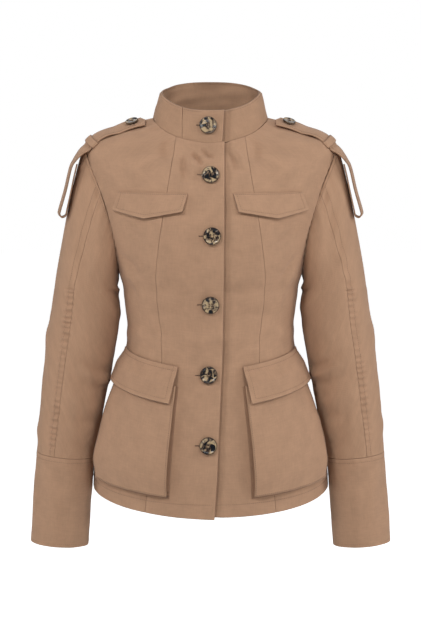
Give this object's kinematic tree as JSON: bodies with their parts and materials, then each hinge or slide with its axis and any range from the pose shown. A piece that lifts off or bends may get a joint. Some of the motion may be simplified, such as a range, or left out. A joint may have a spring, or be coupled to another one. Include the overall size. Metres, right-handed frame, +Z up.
{
  "type": "field jacket",
  "caption": "Short fitted cotton twill jacket in its worn form, stand collar, buttoned front, flapped bellows hip pockets, chest flaps, shoulder straps and deep cuffs.",
  "frame": {"origin": "middle of the neck opening, at the height where the collar meets the shoulder lines, under the collar's side edges", "axes": "+Z up, -Y the front, +X the wearer's left"},
  "size_m": [0.5686, 0.2818, 0.7271],
  "materials": {
    "cotton_twill": "matte tan cotton twill",
    "collar_twill": "matte tan cotton twill, two layers",
    "mottled_button": "polished resin, mottled dark brown and cream"
  },
  "bodies": {
    "root": {"back_centre": "cotton_twill", "back_side_lower_left": "cotton_twill", "back_side_lower_right": "cotton_twill", "back_side_middle_left": "cotton_twill", "back_side_middle_right": "cotton_twill", "back_side_upper_left": "cotton_twill", "back_side_upper_right": "cotton_twill", "chest_flap_left": "cotton_twill", "chest_flap_right": "cotton_twill", "collar_band": "collar_twill", "collar_tab": "collar_twill", "cuff_left": "cotton_twill", "cuff_right": "cotton_twill", "front_button_1": "mottled_button", "front_button_2": "mottled_button", "front_button_3": "mottled_button", "front_button_4": "mottled_button", "front_button_5": "mottled_button", "front_button_6": "mottled_button", "front_centre_left": "cotton_twill", "front_centre_right": "cotton_twill", "front_side_lower_left": "cotton_twill", "front_side_lower_right": "cotton_twill", "front_side_middle_left": "cotton_twill", "front_side_middle_right": "cotton_twill", "front_side_upper_left": "cotton_twill", "front_side_upper_right": "cotton_twill", "hip_flap_left": "cotton_twill", "hip_flap_right": "cotton_twill", "hip_pocket_left": "cotton_twill", "hip_pocket_right": "cotton_twill", "shoulder_strap_left": "cotton_twill", "shoulder_strap_right": "cotton_twill", "sleeve_top_elbow_left": "cotton_twill", "sleeve_top_elbow_right": "cotton_twill", "sleeve_top_head_left": "cotton_twill", "sleeve_top_head_right": "cotton_twill", "sleeve_top_lower_left": "cotton_twill", "sleeve_top_lower_right": "cotton_twill", "sleeve_top_upper_left": "cotton_twill", "sleeve_top_upper_right": "cotton_twill", "sleeve_under_elbow_left": "cotton_twill", "sleeve_under_elbow_right": "cotton_twill", "sleeve_under_lower_left": "cotton_twill", "sleeve_under_lower_right": "cotton_twill", "sleeve_under_upper_left": "cotton_twill", "sleeve_under_upper_right": "cotton_twill", "strap_button_left": "mottled_button", "strap_button_right": "mottled_button", "strap_carrier_left": "cotton_twill", "strap_carrier_right": "cotton_twill"}
  },
  "joints": []
}
